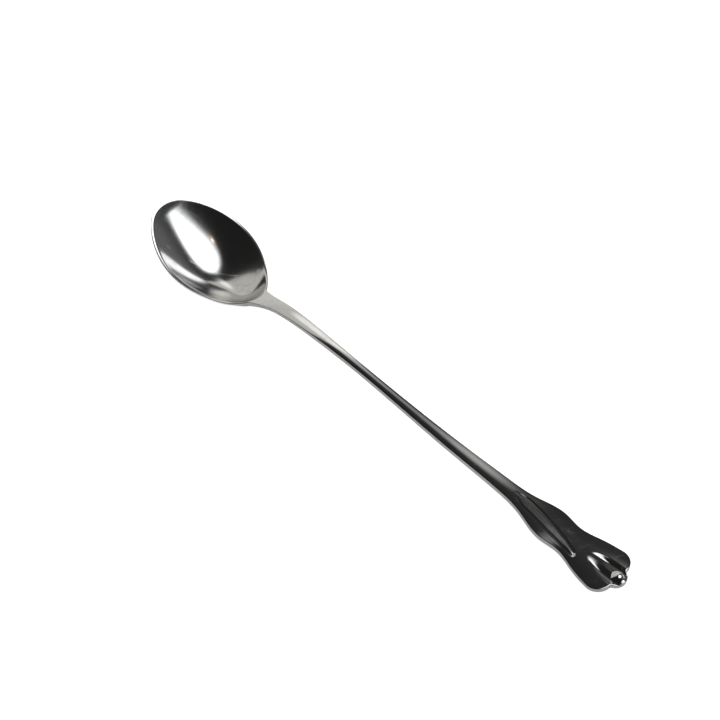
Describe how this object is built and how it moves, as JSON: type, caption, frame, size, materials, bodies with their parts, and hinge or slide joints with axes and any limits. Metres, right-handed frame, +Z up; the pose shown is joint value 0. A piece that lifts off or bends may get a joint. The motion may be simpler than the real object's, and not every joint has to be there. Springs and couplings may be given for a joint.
{
  "type": "bar spoon",
  "caption": "Long-handled bar spoon in polished steel: a pointed oval bowl tilted tip-up, a slim arched stem and a coined three-lobed end with a leaf and a round bead.",
  "frame": {"origin": "centre of the footprint, on the surface that the spoon rests on", "axes": "+X from the bowl to the handle's end, +Y across the spoon, +Z up out of the open bowl"},
  "size_m": [0.192, 0.0302, 0.0167],
  "materials": {
    "steel": "polished stainless steel with fine handling marks"
  },
  "bodies": {
    "root": {"spoon": "steel"}
  },
  "joints": []
}
